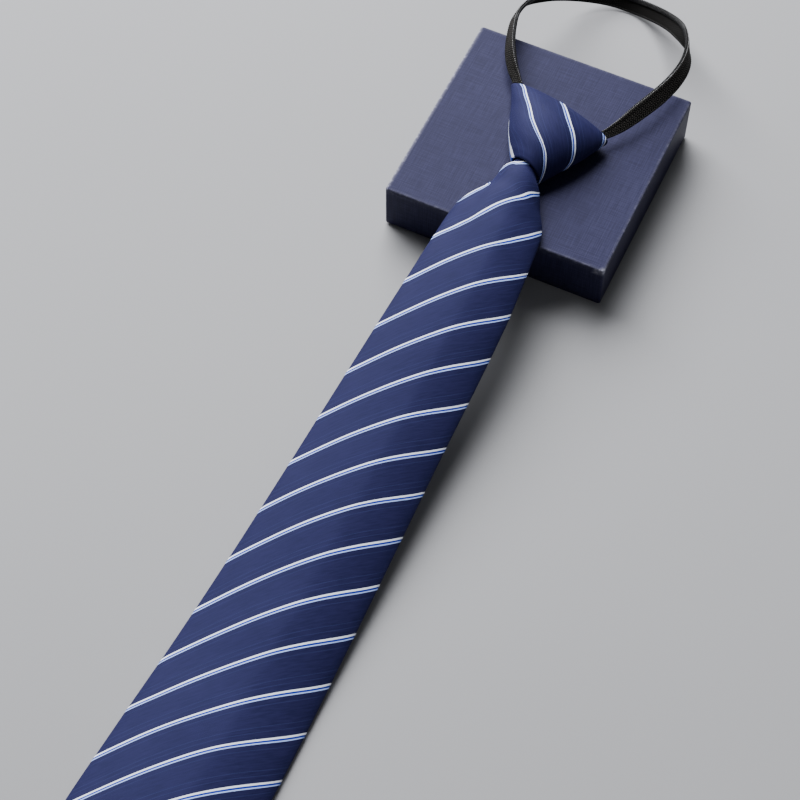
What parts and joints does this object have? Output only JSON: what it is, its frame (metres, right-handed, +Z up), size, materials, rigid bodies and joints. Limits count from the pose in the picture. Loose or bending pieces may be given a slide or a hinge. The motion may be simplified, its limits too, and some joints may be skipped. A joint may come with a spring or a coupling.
{
  "type": "zipper tie on a gift box",
  "caption": "Pre-tied necktie with a diagonally striped blade and knot and a zip neck loop, lying over a flat covered gift box.",
  "frame": {"origin": "centre of the gift box's underside, on the surface that the box, the blade and the neck band's far end rest on", "axes": "+Y from the blade's point towards the neck loop, +X to the right seen from the point, +Z up"},
  "size_m": [0.12, 0.5877, 0.0507],
  "materials": {
    "silk": "navy satin twill with narrow white and blue diagonal stripes",
    "zip_tape": "black woven polyester tape",
    "zip_teeth": "black nylon coil",
    "slider_metal": "black lacquered zinc",
    "box_cover": "navy linen-finish cover on board"
  },
  "bodies": {
    "root": {"gift_box_lid": "box_cover", "gift_box_base": "box_cover", "blade": "silk", "knot": "silk", "neck_band": "zip_tape", "zip_coil": "zip_teeth", "zip_chain": "zip_tape", "zip_slider": "slider_metal"}
  },
  "joints": []
}
